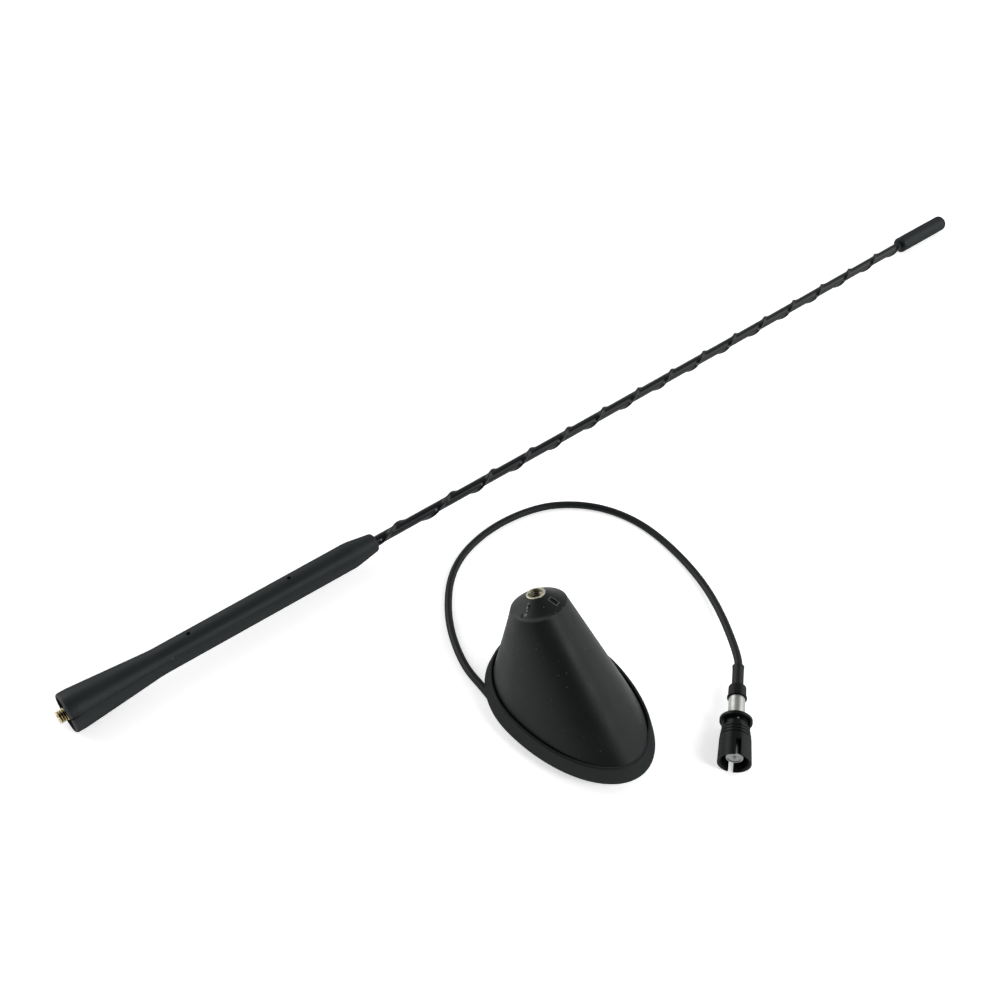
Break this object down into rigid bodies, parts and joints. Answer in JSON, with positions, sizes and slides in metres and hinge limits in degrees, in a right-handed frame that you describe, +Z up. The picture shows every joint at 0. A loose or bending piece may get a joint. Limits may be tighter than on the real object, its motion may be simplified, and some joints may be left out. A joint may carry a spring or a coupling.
{
  "type": "car mast aerial",
  "caption": "Car roof aerial: a spiral-ribbed mast with a flared grip lies unscrewed beside its leaning conical base, whose short coaxial lead ends in a snap-in plug.",
  "frame": {"origin": "mouth of the roof screw hole in the base's boss, on the surface that everything lies on", "axes": "+X to the base's nose, +Y along the mast from its stud to its tip, +Z up"},
  "size_m": [0.1715, 0.4999, 0.0496],
  "materials": {
    "grip_rubber": "satin moulded rubber",
    "sheath_plastic": "satin sheath",
    "housing_plastic": "fine satin moulding",
    "gasket_rubber": "matt rubber",
    "brass": "turned",
    "core_fibre": "glass fibre",
    "die_cast": "die-cast",
    "screw_steel": "zinc plated",
    "cable_jacket": "smooth jacket",
    "plug_plastic": "satin moulding",
    "plug_metal": "bright plating",
    "insulator": "white",
    "copper": "drawn"
  },
  "bodies": {
    "aerial": {"mast_stud": "brass", "mast_core": "core_fibre", "mast_sheath": "sheath_plastic", "mast_grip": "grip_rubber", "mast_tip": "grip_rubber", "base_housing": "housing_plastic", "mast_socket": "brass", "base_gasket": "gasket_rubber", "base_plate": "die_cast", "plate_screws": "screw_steel", "feed_contact": "brass", "feed_wire": "copper", "cable_grommet": "gasket_rubber", "cable": "cable_jacket", "cable_sleeve": "cable_jacket", "plug_boot": "plug_plastic", "plug_barrel": "plug_metal", "plug_insulator": "insulator", "plug_contact": "plug_metal"},
    "lock_sleeve": {"plug_sleeve": "plug_plastic"}
  },
  "joints": [
    {"name": "lock_slide", "type": "slide", "parent": "aerial", "child": "lock_sleeve", "axis": [-0.6547, 0.7559, 0], "range_m": [0, 0.004]}
  ]
}
